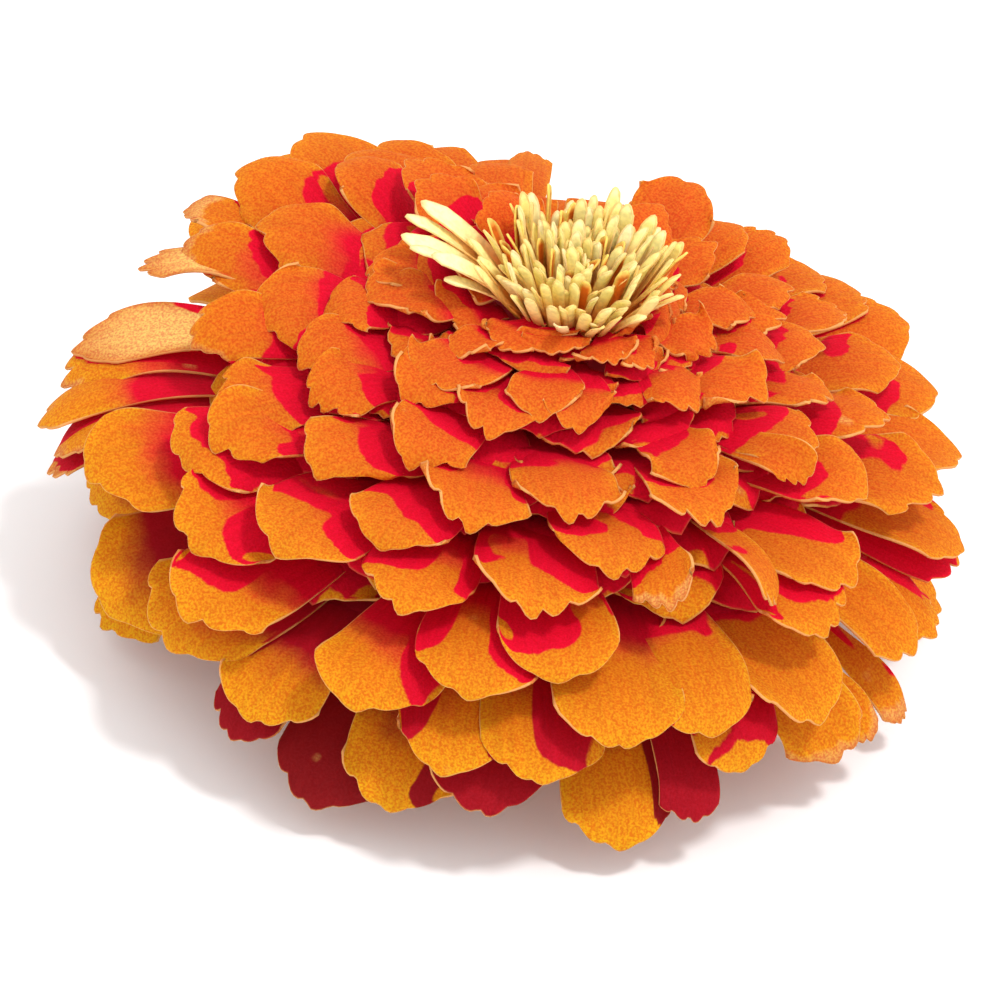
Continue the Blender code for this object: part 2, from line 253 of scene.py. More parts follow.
petalSheet = {
    "columns": 28,
    "rows": 26,
    "toSides": 0.4,  # how much closer the columns stand at the sides
    "toTip": 1.25,  # and the rows at the tip
    "thickness": 0.35,  # mm
    "claw": 0.26,  # width of the root, as a share of the full width
    "fullAt": 0.95,  # where it is full, as a share of the length up to the rounded end
    "tipRound": (1.30, 0.32),  # the rounded end in half widths, and its most as a share of the length
    "pointed": (0.58, 0.30),  # how pointed it is, and how much more so at the right and on the far side
    "pointPower": 1.3,
    "tipFrom": 0.35,  # share of the length from which the sheet follows the shape of its tip
    "scallops": (1.3, 2.5),  # half the number of rounded lobes along the tip
    "scallopDepth": (1.3, 3.0),  # mm
    "scallopStart": (0.7, 2.4),
    "notchPower": 1.2,  # how narrow the notches are
    "notchPlay": (0.4, 2.3, 3.0),  # how much shallower some are, and how that changes along the tip
    "deepest": 0.09,  # the most that a notch may be of the petal's length
    "skew": 0.8,  # mm by which one corner of the tip stands back and the other stands out
    "ruffle": (0.2, 0.8),  # mm
    "waves": (1.2, 2.3),  # along each side
    "tipCurl": (-1.0, 0.8),  # mm
    "curlFrom": 0.6,
    "open": (0.50, 0.22),  # share of the length where the crimson root, partly painted shade, ends, and on the standing petals
    "shadedOpen": 1.5,  # and on the shaded ones, past their tips, so they are painted crimson shade all over
    "leftShade": 0.32,  # how much further that painted shade reaches low on the left
    "redder": 0.45,  # how much the standing petals look like the ones near the crown
    "drying": 6.0,  # how fast an old petal dries past its fresh part
    "seed": 4,
}

# the tips are looked for on the dome in steps of its sides and shares
tipSearch = {
    "sides": 360,
    "steps": 200,
    "closest": (6.0, 1.5),  # pixels around a tip that count as met, or around the dome's nearest point
    "deep": 4.0,  # mm behind the nearest of them that are still weighed
    "beyond": -0.1,  # the far side of the flower starts here
    "steady": 0.05,  # holds a nudge back where outward and upward look alike
    "farthest": 4.0,  # mm, the most that a tip is nudged
}


# petal tips read from the photo: pixels across and down, then the petal's breadth
nearTips = (
    (938, 391, 1.2), (959, 451, 1.15), (905, 373, 1.1), (840, 311, 0.8), (796, 292, 0.8),
    (762, 320, 0.9), (785, 322, 0.7), (830, 352, 1), (791, 355, 0.8), (888, 418, 1.1),
    (838, 404, 0.8), (758, 412, 1.1), (693, 415, 1), (655, 368, 0.7), (612, 366, 0.8),
    (542, 354, 0.9), (487, 344, 0.8), (428, 393, 1), (400, 407, 0.9), (476, 438, 1),
    (544, 423, 0.9), (574, 435, 0.9), (398, 466, 1), (329, 486, 1), (300, 403, 0.8),
    (292, 363, 0.9), (318, 315, 0.9), (365, 302, 0.9), (387, 309, 0.9), (359, 275, 0.8),
    (260, 224, 1), (90, 478, 1.1), (173, 464, 1.1), (229, 428, 0.9), (219, 457, 0.8),
    (705, 493, 0.9), (722, 527, 1.1), (813, 465, 1), (869, 498, 1.1), (939, 499, 1.15),
    (968, 552, 1.1), (960, 573, 0.9), (935, 642, 0.9), (917, 657, 0.8), (575, 526, 1.1),
    (457, 531, 1.1), (274, 554, 1.1), (193, 558, 1.1), (106, 616, 1.2), (180, 618, 1.1),
    (172, 658, 1.25), (614, 582, 1.1), (539, 621, 1.1), (408, 617, 1.1), (854, 588, 1),
    (836, 634, 1), (560, 687, 1.1), (455, 699, 1.1), (359, 714, 1.1), (254, 728, 1),
    (725, 738, 1.05), (612, 752, 1.1), (827, 721, 1.1), (554, 787, 1), (427, 772, 0.9),
    (389, 814, 1), (749, 774, 0.9), (612, 850, 1.0),
)
# the lowest ones, painted dark crimson all over as the shade of the head
shadedTips = ((304, 805, 1), (223, 735, 0.7), (500, 818, 1.1), (699, 822, 0.55))
# the ones that stand up beyond the florets
farTips = (
    (305, 139, 1.15), (260, 158, 1.1), (230, 182, 1.1), (208, 210, 0.8), (395, 146, 0.9),
    (439, 147, 0.7), (500, 160, 1), (690, 176, 1.1), (752, 228, 1), (787, 238, 0.8),
    (814, 263, 0.8), (860, 294, 0.9), (909, 325, 1.15),
)
# old petals that dry and turn: also their twist in degrees, the share of the length that is still
# fresh, and by how many mm they hang
driedTips = (
    (75, 351, 0.65, 4, 0.1, 10), (140, 269, 0.42, 6, 0.6, 5), (174, 213, 0.5, 14, 0.8, 2),
    (179, 268, 0.7, -4, 0.85, 2), (31, 427, 0.5, 26, 0.9, 6), (59, 383, 0.6, -4, 0.9, 6),
    (55, 454, 0.6, 22, 0.9, 5), (47, 477, 0.5, 28, 0.85, 5), (193, 347, 0.8, -14, 0.9, 2),
    (247, 329, 1.1, -6, 0.95, 2), (383, 553, 1, 8, 0.95, 0), (668, 612, 0.6, 26, 0.86, 0),
    (785, 604, 0.5, -34, 0.92, 0), (839, 765, 0.8, 20, 0.86, 0), (803, 490, 0.5, 36, 0.95, 0),
    (448, 357, 0.6, 12, 0.95, 0), (720, 352, 0.9, 8, 0.93, 0), (905, 720, 0.4, 25, 0.85, 0),
    (866, 748, 0.4, 20, 0.85, 0), (536, 143, 0.5, 0, 1.0, 11),
)

# a full petal of the spiral; the ones read from the photo have their own values
plainPetal = {
    "breadth": 1.0,
    "twist": 0.0,
    "fresh": 1.0,
    "hang": 0.0,
    "play": 1.0,
    "short": 0.0,
    "shaded": False,
    "nudge": Vector((0.0, 0.0)),
}


def alongRows(values, share):
    stops = headForm["shares"]
    for low, high, start, end in zip(stops, stops[1:], values, values[1:]):
        if share <= high:
            return start + (end - start) * (share - low) / (high - low)
    return values[-1]


def crownRise(azimuth, share):
    whole, none = headForm["lobeShares"]
    rise = 0.0
    for side, focus, height in headForm["lobes"]:
        rise += height * max(0.0, math.cos(azimuth - math.radians(side))) ** focus
    return rise * clamped((none - share) / (none - whole))


def petalTip(azimuth, share):
    # distance from the axis and height of a petal's tip, in mm
    away = math.cos(azimuth - math.radians(headForm["longSide"]))
    longer = headForm["longReach"] * away * math.sin(math.pi * share)
    height = alongRows(headForm["tipHeight"], share) + crownRise(azimuth, share)
    return Vector((alongRows(headForm["tipRadius"], share) + longer, height))


def tipSpot(azimuth, share):
    tip = petalTip(azimuth, share)
    return Vector((tip.x * math.cos(azimuth), tip.x * math.sin(azimuth), tip.y))


def domeAsSeen():
    # the dome that the tips lie on, as azimuth, share, pixels across and down, and depth in mm
    camera = scene.camera
    turn = camera.rotation_quaternion.conjugated()
    middle = cameraAim["photoSide"] / 2
    pixels = camera.data.lens / camera.data.sensor_width * cameraAim["photoSide"]
    rows = []
    for side in range(tipSearch["sides"]):
        for step in range(tipSearch["steps"]):
            azimuth, share = math.tau * side / tipSearch["sides"], step / tipSearch["steps"]
            seen = turn @ (tipSpot(azimuth, share) * mm - camera.location)
            across, down = middle - pixels * seen.x / seen.z, middle + pixels * seen.y / seen.z
            rows.append((azimuth, share, across, down, seen.z / mm))
    return np.array(rows).T


def nudge(azimuth, across, down):
    # the mm outward and upward that move a tip by so many pixels
    turn = scene.camera.rotation_quaternion
    right, up = turn @ Vector((1.0, 0.0, 0.0)), turn @ Vector((0.0, 1.0, 0.0))
    out = Vector((math.cos(azimuth), math.sin(azimuth), 0.0))
    seen = np.array(((out.dot(right), right.z), (out.dot(up), up.z)))
    wanted = np.array((across, -down)) / cameraAim["pixelsPerMm"]
    move = np.linalg.solve(seen.T @ seen + tipSearch["steady"] * np.eye(2), seen.T @ wanted)
    most = tipSearch["farthest"]
    return Vector((float(value) for value in np.clip(move, -most, most)))


def seenPlaces():
    # the petals whose tips show in the photo, each put where the view through its pixel meets the dome
    azimuths, shares, across, down, depth = domeAsSeen()
    beyond = np.sin(azimuths) > tipSearch["beyond"]
    met, slack = tipSearch["closest"]
    places = []
    tips = [tip + (0.0, 1.0, 0.0) for tip in nearTips + shadedTips + farTips] + list(driedTips)
    for x, y, breadth, twist, fresh, hang in tips:
        away = np.hypot(across - x, down - y)
        fits = away < max(met, away.min() + slack)
        if (x, y, breadth) in farTips and (fits & beyond).any():
            fits &= beyond
        else:
            fits &= depth > depth[fits].max() - tipSearch["deep"]
        best = int(np.argmin(np.where(fits, away, np.inf)))
        azimuth = float(azimuths[best])
        places.append({
            **plainPetal,
            "azimuth": azimuth,
            "share": float(shares[best]),
            "breadth": breadth,
            "twist": math.radians(twist),
            "fresh": fresh,
            "hang": hang,
            "play": 0.0,
            "shaded": (x, y, breadth) in shadedTips,
            "nudge": nudge(azimuth, x - across[best], y - down[best]),
        })
    return places


def petalPlaces():
    # the golden-angle spiral fills the sides and the back
    places = seenPlaces()
    taken = [tipSpot(place["azimuth"], place["share"]) for place in places]
    near, far = headForm["room"]
    front, behind = headForm["roomFrom"]
    for index in range(headForm["petals"]):
        azimuth, share = index * goldenAngle, (index + 0.5) / headForm["petals"]
        room = near + (far - near) * clamped((math.sin(azimuth) - front) / (behind - front))
        here = tipSpot(azimuth, share)
        inner = min((here - other).length for other in taken) < room
        short = headForm["inner"] if inner else 0.0
        places.append({**plainPetal, "azimuth": azimuth, "share": share, "short": short})
    return places


def petalFacts(place, dice, whim):
    form, sheet = headForm, petalSheet
    azimuth, share, hang = place["azimuth"], place["share"], place["hang"]
    lift, reach, swing, sweep, roll, cup, broad = (dice.uniform(-1.0, 1.0) for _ in range(7))
    rise = crownRise(azimuth, share)
    left = max(0.0, math.cos(azimuth - math.radians(form["leftSide"])))
    level, slant, side = form["standSide"]
    standing = clamped(level + slant * math.sin(azimuth + math.radians(side)))
    loose = min(1.0, share / form["loose"])
    # the petal's line, from its root to its tip
    root = Vector((alongRows(form["rootRadius"], share), alongRows(form["rootHeight"], share)))
    tip = petalTip(azimuth, share) + place["nudge"]
    rootPitch = alongRows(form["rootPitch"], share) + form["lobeRootPitch"] * rise
    rootPitch = math.radians(rootPitch - form["leftRoot"] * left + form["hangPitch"][1] * hang)
    tipPitch = alongRows(form["tipPitch"], share) + form["lift"] * lift + form["standOut"] * standing
    tipPitch = math.radians(tipPitch + form["lobeTipPitch"] * rise + form["hangPitch"][0] * hang)
    start = Vector((math.cos(rootPitch), math.sin(rootPitch)))
    outward = Vector((math.cos(tipPitch), math.sin(tipPitch)))
    tip += outward * form["reach"] * reach * place["play"] - (tip - root) * place["short"]
    chord = (tip - root).length
    part, most, more = form["tipHandle"]
    tipHandle = min(chord * part, most + more * left + hang)
    knots = [root, root + start * chord * form["rootHandle"], tip - outward * tipHandle, tip]
    # its width and turn
    halfWidth = alongRows(form["halfWidth"], share) * place["breadth"]
    halfWidth *= (1.0 + form["broad"] * broad) * (1.0 - form["slim"] * standing)
    twist = math.radians(form["roll"] * roll - form["leftTwist"] * left**2 * loose) + place["twist"]
    shift, shiftEnd = form["crownShift"]
    return {
        "share": share,
        "azimuth": azimuth,
        "knots": [knot * mm for knot in knots],
        "halfWidth": halfWidth * mm,
        "sweep": form["sweep"] * mm * sweep,
        "swing": form["swing"] * mm * swing * loose,
        "twist": twist,
        "cup": form["cup"][0] + form["cup"][1] * cup,
        "fresh": place["fresh"],
        "short": place["short"],
        "shaded": place["shaded"],
        "standing": standing,
        "left": left,
        "shift": shift * mm * max(0.0, 1.0 - share / shiftEnd),
        "cap": min(sheet["tipRound"][0] * halfWidth / chord, sheet["tipRound"][1]),
        "point": sheet["pointed"][0] + sheet["pointed"][1] * standing,
        "scallops": whim.uniform(*sheet["scallops"]) * math.pi,
        "scallopDepth": min(whim.uniform(*sheet["scallopDepth"]) / chord, sheet["deepest"]),
        "scallopStart": whim.uniform(*sheet["scallopStart"]),
        "skew": whim.uniform(-1.0, 1.0) * sheet["skew"] / chord,
        "ruffle": [whim.uniform(*sheet["ruffle"]) * mm for _ in range(2)],
        "waves": [whim.uniform(*sheet["waves"]) for _ in range(2)],
        "phase": [whim.uniform(0.0, math.tau) for _ in range(2)],
        "tipCurl": whim.uniform(*sheet["tipCurl"]) * mm,
        "tone": whim.random(),
    }


def bezier(knots, t):
    a, b, c, d = knots
    s = 1.0 - t
    return a * s**3 + b * 3 * s * s * t + c * 3 * s * t * t + d * t**3


def bezierSlope(knots, t):
    a, b, c, d = knots
    s = 1.0 - t
    return (b - a) * 3 * s * s + (c - b) * 6 * s * t + (d - c) * 3 * t * t


def petalSpread(facts, reached):
    full = petalSheet["fullAt"] * (1.0 - facts["cap"])
    claw = petalSheet["claw"]
    return claw + (1.0 - claw) * math.sin(0.5 * math.pi * clamped(reached / full)) ** 2


def tipDrop(facts, across):
    # how far the edge of the tip stands back from its foremost point: an arc, then the notches
    away = min(1.0, abs(across))
    point, start = facts["point"], facts["scallopStart"]
    arc = (1.0 - point) * (1.0 - math.sqrt(1.0 - away**2)) + point * away ** petalSheet["pointPower"]
    lobe = abs(math.sin(facts["scallops"] * across + start))
    play, slow, shift = petalSheet["notchPlay"]
    notch = facts["scallopDepth"] * (1.0 - play + play * math.sin(slow * across + start * shift))
    notch *= (1.0 - lobe) ** petalSheet["notchPower"] * (1.0 - away**4)
    return facts["cap"] * arc + facts["skew"] * across + notch


def petalPoint(facts, across, along):
    late = max(0.0, along - petalSheet["tipFrom"]) / (1.0 - petalSheet["tipFrom"])
    reached = along - tipDrop(facts, across) * late**2
    middle = bezier(facts["knots"], reached)
    slope = bezierSlope(facts["knots"], reached).normalized()
    over = Vector((-slope.y, slope.x))
    width = facts["halfWidth"] * petalSpread(facts, reached)
    twist = facts["twist"] * along
    side = across * width * math.cos(twist) + facts["sweep"] * along**2 + facts["swing"] * (1.0 - along)
    lift = across * width * math.sin(twist) - facts["cup"] * width * across**2
    edge = 0 if across < 0.0 else 1
    wave = math.sin(math.tau * facts["waves"][edge] * along + facts["phase"][edge])
    lift += facts["ruffle"][edge] * wave * across**2 * along
    curled = max(0.0, (reached - petalSheet["curlFrom"]) / (1.0 - petalSheet["curlFrom"]))
    lift += facts["tipCurl"] * curled**2
    place = middle + over * lift
    turn = facts["azimuth"]
    return Vector((
        place.x * math.cos(turn) - side * math.sin(turn) + facts["shift"] * (1.0 - along),
        place.x * math.sin(turn) + side * math.cos(turn),
        place.y,
    ))


def addPetal(bm, facts):
    # one fine sheet with its own map: across in U, along in V
    sheet = petalSheet
    coarser = 2 if facts["short"] else 1
    columns, rows = sheet["columns"] // coarser, sheet["rows"] // coarser
    grid = bmesh.ops.create_grid(bm, x_segments=columns, y_segments=rows, size=1.0, calc_uvs=True)
    layers = (bm.verts.layers.float[name] for name in ("level", "tone", "edge", "dry", "crimsonRootAndShade"))
    level, tone, edge, dry, crimsonRootAndShade = layers
    # the crimson root, partly the petal's own colour and partly painted shade
    low, high = sheet["open"]
    rootShadeEnd = low + (high - low) * facts["standing"]
    # painted shade reaches further low on the left
    rootShadeEnd += sheet["leftShade"] * facts["left"] * facts["share"]
    # the shaded ones are painted crimson all over, as shade
    if facts["shaded"]:
        rootShadeEnd = sheet["shadedOpen"]
    for vert in grid["verts"]:
        across, along = -vert.co.x, (vert.co.y + 1.0) / 2.0
        closer = math.sin(0.5 * math.pi * across)
        across += sheet["toSides"] * (closer - across)
        atRim = abs(vert.co.x) > gridEdge or vert.co.y > gridEdge
        along = 1.0 - (1.0 - along) ** sheet["toTip"]
        vert[level] = facts["share"] * (1.0 - sheet["redder"] * facts["standing"])
        vert[crimsonRootAndShade] = along - rootShadeEnd
        vert[tone] = facts["tone"]
        vert[edge] = 1.0 if atRim else 0.0
        vert[dry] = clamped(sheet["drying"] * (along - facts["fresh"])) if facts["fresh"] < 1.0 else 0.0
        vert.co = petalPoint(facts, across, along)


petalColours = {
    # by a petal's level, from 0 at the crown to 1 at the lowest whorl
    "face": (
        (0.00, (0.69, 0.108, 0.014, 1.0)),
        (0.35, (0.66, 0.130, 0.011, 1.0)),
        (0.60, (0.67, 0.190, 0.008, 1.0)),
        (1.00, (0.75, 0.290, 0.006, 1.0)),
    ),
    "gold": (
        (0.00, (0.74, 0.200, 0.012, 1.0)),
        (0.50, (0.76, 0.330, 0.010, 1.0)),
        (1.00, (0.80, 0.450, 0.008, 1.0)),
    ),
    # crimson of the root and of the painted shadow, darker low down as painted shade under the head
    "deep": (
        (0.00, (0.76, 0.002, 0.026, 1.0)),
        (0.72, (0.74, 0.002, 0.026, 1.0)),
        (0.88, (0.38, 0.005, 0.016, 1.0)),
        (1.00, (0.14, 0.010, 0.008, 1.0)),
    ),
    "reverse": (
        (0.00, (0.76, 0.26, 0.035, 1.0)),
        (0.60, (0.76, 0.36, 0.060, 1.0)),
        (1.00, (0.66, 0.30, 0.050, 1.0)),
    ),
    # the back's root colour, also used for the painted shadow on the back
    "reverseRoot": (0.62, 0.16, 0.02, 1.0),
    "sunny": (0.80, 0.19, 0.006, 1.0),
    "edge": (0.88, 0.48, 0.16, 1.0),
    "dried": (0.92, 0.64, 0.16, 1.0),
    "driedRim": (0.62, 0.20, 0.03, 1.0),
    "through": (0.90, 0.030, 0.015, 1.0),
    # multiplied in by the grain: red flecks and gold ones
    "flecks": ((0.34, (0.88, 0.52, 0.7, 1.0)), (0.66, (1.06, 1.16, 1.2, 1.0))),
}

petalTexture = {
    "roughness": 0.8,
    "gloss": 0.12,
    "veins": (26.0, 1.6, 1.0),  # how often the veins repeat across and along a petal
    "veinShift": 40.0,  # sets the veins of one petal apart from the next one's
    "veinShade": (0.35, 0.65, 0.93, 1.04),
    "grain": 3600.0,
    "cloud": 160.0,
    "border": (0.42, 0.58),  # where the crimson turns to orange, at the root and at the edge of the painted shadow
    "uneven": 0.25,  # how unevenly the crimson root ends
    "parched": (0.35, 0.62),  # where an old petal turns to straw
    "parchedUneven": 1.6,
    "sunny": 0.22,  # how much one petal is brighter than the next
    "rimPower": (3.0, 5.0),  # how narrow the gold is along the sides and at the tip
    "rimGold": 0.9,
    "line": (0.55, 0.95, 0.0, 0.75),  # the pale line along the edge
    "lineInShadow": -0.75,  # what the painted shadow takes from it
    "glow": 0.25,  # share of the light that comes through
    "veinRelief": 2.0,  # against the grain's
    "relief": 0.35,
}


def nearRim(tree, across, along):
    # 0 in the middle of a petal and 1 along its long edges and its tip
    sidePower, tipPower = petalTexture["rimPower"]
    off = sums(tree, "ABSOLUTE", sums(tree, "SUBTRACT", across, 0.5))
    sides = sums(tree, "POWER", sums(tree, "MULTIPLY", off, 2.0), sidePower)
    return sums(tree, "MAXIMUM", sides, sums(tree, "POWER", along, tipPower))


def petalFace(name, reverse=False):
    look, colours = petalTexture, petalColours
    material, tree, shader = newFinish(name, look["roughness"], look["gloss"])
    level, tone, edge, dry, crimsonRootAndShade, shadowPaint = (
        attributeOf(tree, key) for key in ("level", "tone", "edge", "dry", "crimsonRootAndShade", "shadowPaint")
    )
    sheetMap, across, along = sheetPlace(tree)
    rim = nearRim(tree, across, along)
    # veins along the petal, a fine grain and a broad cloud
    shift = newNode(tree, "ShaderNodeCombineXYZ")
    tree.links.new(sums(tree, "MULTIPLY", tone, look["veinShift"]), shift.inputs[1])
    mapping = stretched(tree, sheetMap, look["veins"])
    tree.links.new(shift.outputs[0], mapping.inputs["Location"])
    veins = noiseOf(tree, mapping.outputs[0], 1.0, 3.0)
    grain = noiseOf(tree, objectPlace(tree), look["grain"], 1.0)
    cloud = noiseOf(tree, objectPlace(tree), look["cloud"])
    drift = sums(tree, "SUBTRACT", cloud, 0.5)
    # orange, gold towards the rim, crimson at the covered root: partly the petal's own colour there,
    # partly painted shade
    if reverse:
        lit = rampOf(tree, level, colours["reverse"])
        deep = blendColour(tree, 0.5, lit, colours["reverseRoot"])
    else:
        lit = rampOf(tree, level, colours["face"])
        deep = rampOf(tree, level, colours["deep"])
    lit = blendColour(tree, sums(tree, "MULTIPLY", tone, look["sunny"]), lit, colours["sunny"])
    if not reverse:
        gold = rampOf(tree, level, colours["gold"])
        lit = blendColour(tree, sums(tree, "MULTIPLY", rim, look["rimGold"]), lit, gold)
    reach = sums(tree, "MULTIPLY_ADD", drift, look["uneven"], crimsonRootAndShade)
    opened = greyRamp(tree, sums(tree, "ADD", reach, 0.5), *look["border"])
    colour = blendColour(tree, opened, deep, lit)
    # straw where an old petal has dried, then crimson again as painted shadow where the layers above keep
    # the light off it
    parched = sums(tree, "MULTIPLY_ADD", drift, look["parchedUneven"], dry)
    withered = blendColour(tree, rim, colours["dried"], colours["driedRim"])
    colour = blendColour(tree, greyRamp(tree, parched, *look["parched"]), colour, withered)
    shadowMask = greyRamp(tree, shadowPaint, *look["border"])
    colour = blendColour(tree, shadowMask, colour, deep)
    for shade in (greyRamp(tree, veins, *look["veinShade"]), rampOf(tree, grain, colours["flecks"])):
        colour = blendColour(tree, 1.0, colour, shade, "MULTIPLY")
    inLight = sums(tree, "MULTIPLY_ADD", shadowMask, look["lineInShadow"], 1.0)
    line = sums(tree, "MULTIPLY", greyRamp(tree, edge, *look["line"]), inLight)
    colour = blendColour(tree, line, colour, colours["edge"])
    tree.links.new(colour, shader.inputs["Base Color"])
    addRelief(tree, shader, sums(tree, "MULTIPLY_ADD", veins, look["veinRelief"], grain), look["relief"])
    # some light comes through the thin sheet
    glow = newNode(tree, "ShaderNodeBsdfTranslucent", Color=colours["through"])
    both = newNode(tree, "ShaderNodeMixShader")
    fillSockets(tree, both, ((0, look["glow"]), (1, shader.outputs[0]), (2, glow.outputs[0])))
    tree.links.new(both.outputs[0], tree.nodes["Material Output"].inputs["Surface"])
    return material


# painted shadow: how far the layers above keep the light off a petal, felt with rays from its own face
shadowRays = {
    "rise": 42.0,  # degrees of a ray above the face
    "sideRise": (34.0, 70.0),  # how much steeper it is on one side, and that side
    "lean": (0.35, 0.0, 0.8),  # to the right and up, before it is laid along the face
    "inward": 0.6,  # its lean towards the flower's axis
    "rays": ((0.0, 0.0), (0.07, 0.0), (-0.07, 0.0), (0.0, 0.12), (0.0, -0.12)),  # steeper, and to the side
    "reach": (10.0, 6.4),  # mm that they go, high up and low down
    "heights": (42.0, 27.0),  # mm, where that begins and ends to change
    "far": 0.5,  # how much shorter they are on the far side
    "step": 0.35,  # mm above the face where they start
    "own": 0.4,  # a point's own part in its value; the rest is its neighbours'
}


def paintedShadowShare(tree, place, normal):
    # 1 where the layers above keep the light off a petal, 0 in the open: the strength of the painted
    # shadow
    out = Vector((place.x, place.y, 0.0)).normalized()
    more, away = shadowRays["sideRise"]
    base = shadowRays["rise"] + more * max(0.0, math.cos(math.atan2(out.y, out.x) - math.radians(away)))
    (far, near), (high, low) = shadowRays["reach"], shadowRays["heights"]
    reach = near + (far - near) * clamped((place.z / mm - low) / (high - low))
    reach *= 1.0 - shadowRays["far"] * max(0.0, out.y)
    flat = Vector(shadowRays["lean"]) - out * shadowRays["inward"]
    up = (flat - normal * flat.dot(normal)).normalized()
    side = normal.cross(up)
    shadowed = 0.0
    for lean, swing in shadowRays["rays"]:
        rise = math.radians(base) + lean
        light = (up + side * swing).normalized() * math.cos(rise) + normal * math.sin(rise)
        if tree.ray_cast(place + normal * shadowRays["step"] * mm, light, reach * mm)[0]:
            shadowed += 1.0 / len(shadowRays["rays"])
    return shadowed


def paintShadow(bm, tree):
    # the painted shadow of each point, blended with its neighbours'
    shadowPaint = bm.verts.layers.float["shadowPaint"]
    own = shadowRays["own"]
    found = [paintedShadowShare(tree, vert.co, vert.normal) for vert in bm.verts]
    bm.verts.index_update()
    for vert in bm.verts:
        beside = [found[edge.other_vert(vert).index] for edge in vert.link_edges]
        vert[shadowPaint] = own * found[vert.index] + (1.0 - own) * sum(beside) / len(beside)


petalFinish = [petalFace("petalFace"), petalFace("petalReverse", True)]
petalFinish.append(petalFinish[1])

# the pieces, each with its lowest share and the next one's
petalGroups = (
    ("crownPetals", 0.0, 0.26),
    ("upperPetals", 0.26, 0.48),
    ("middlePetals", 0.48, 0.72),
    ("lowerPetals", 0.72, 1.0),
)


def makePetals():
    dice, whim = random.Random(headForm["seed"]), random.Random(petalSheet["seed"])
    facts = [petalFacts(place, dice, whim) for place in petalPlaces()]
    print("petals:", len(facts))
    groups = []
    every = bmesh.new()
    for name, low, high in petalGroups:
        bm = bmesh.new()
        bm.loops.layers.uv.new("UVMap")
        for key in ("level", "tone", "edge", "dry", "crimsonRootAndShade", "shadowPaint"):
            bm.verts.layers.float.new(key)
        for each in facts:
            if low <= each["share"] < high:
                addPetal(bm, each)
        bm.normal_update()
        mesh = bpy.data.meshes.new(name)
        bm.to_mesh(mesh)
        every.from_mesh(mesh)
        bpy.data.meshes.remove(mesh)
        groups.append((name, bm))
    # rays through all the petals at once, for the painted shadow
    tree = BVHTree.FromBMesh(every)
    every.free()
    for name, bm in groups:
        paintShadow(bm, tree)
        piece = finishedPiece(name, bm, petalFinish, "ray_petals")
        giveThickness(piece, petalSheet["thickness"] * mm)
        print(name, "made:", len(piece.data.polygons), "faces")


makePetals()


# The core that the petals grow from

core = {
    "profile": (
        (0.0, 20.0), (11.6, 20.0), (19.0, 25.6), (19.0, 28.6), (13.4, 34.0),
        (10.6, 38.0), (8.2, 43.0), (6.2, 46.0), (0.0, 46.6),
    ),
    "steps": 40,
    "lean": (38.0, 48.0),  # mm, the heights between which it leans to the right, under the tuft
    "roughness": 0.8,
    "fibres": 260.0,
    # dark crimson: partly the core's own colour, partly painted shade where it shows between the layers
    "colours": ((0.3, (0.44, 0.003, 0.014, 1.0)), (0.7, (0.56, 0.004, 0.018, 1.0))),
}


def turned(bm, profile, steps):
    # a full turn of a profile of (radius, height) in mm about the stem's axis
    verts = [bm.verts.new((radius * mm, 0.0, height * mm)) for radius, height in profile]
    edges = [bm.edges.new(pair) for pair in zip(verts, verts[1:])]
    bmesh.ops.spin(
        bm, geom=verts + edges, cent=(0, 0, 0), axis=(0, 0, 1), angle=math.tau, steps=steps, use_merge=True
    )
    bmesh.ops.remove_doubles(bm, verts=bm.verts, dist=0.01 * mm)
    bmesh.ops.recalc_face_normals(bm, faces=bm.faces)


def coreFinish():
    material, tree, shader = newFinish("coreTissueAndShade", core["roughness"])
    colour = rampOf(tree, noiseOf(tree, objectPlace(tree), core["fibres"]), core["colours"])
    tree.links.new(colour, shader.inputs["Base Color"])
    return material


def makeCore():
    bm = bmesh.new()
    turned(bm, core["profile"], core["steps"])
    straight, top = core["lean"]
    for vert in bm.verts:
        leaning = max(0.0, (vert.co.z / mm - straight) / (top - straight))
        vert.co.x += headForm["crownShift"][0] * mm * leaning
    finishedPiece("headCore", bm, [coreFinish()], "ray_petals")
    print("core made")


makeCore()


# The tuft of straw-yellow florets

tuft = {
    "count": 170,
    "seed": 5,
    "base": 45.0,  # mm, where they stand
    "radius": 7.2,
    "height": (7.0, 11.0),  # in the middle and at the rim
    "heightSpread": 0.16,
    "lean": 36.0,
    "leanPower": 1.3,  # how late the lean grows towards the rim
    "backLean": 5.0,  # of the ones on the far side, which stand up against the tall petals
    "backPower": 0.6,  # how soon the far side begins
    "leanSpread": 6.0,
    "facing": 0.9,  # radians by which a strap turns to one side
    "bow": (-6.0, 10.0),  # degrees
    "halfWidth": (0.65, 1.0),
    "trough": (0.15, 0.7),  # how hollow a strap is
    "brownShare": 0.07,
    "brownBack": (0.5, 6),  # more of them at the far rim, and how close to it they are
    "foot": 0.62,  # width of the foot, as a share of the full width
    "fullAt": 0.8,
    "tipFrom": 0.86,  # where the tip begins to close
    "tipIn": 0.22,  # how much narrower it ends
    "tipRound": 0.7,
    "columns": 4,
    "rows": 8,
    "thickness": 0.22,
}

# broad young straps at the left of the tuft: azimuth, lean, length and half width
broadStraps = (
    (203.0, 38.0, 16.0, 1.5),
    (196.0, 44.0, 17.0, 1.3),
    (188.0, 46.0, 17.4, 1.6),
    (180.0, 44.0, 17.4, 1.4),
    (172.0, 40.0, 16.6, 1.5),
    (207.0, 44.0, 13.0, 1.2),
)

broadForm = {
    "reach": 0.9,  # share of the tuft's radius where they stand
    "facing": 0.4,
    "bow": 12.0,
    "trough": 0.5,
    "palest": 0.7,
}

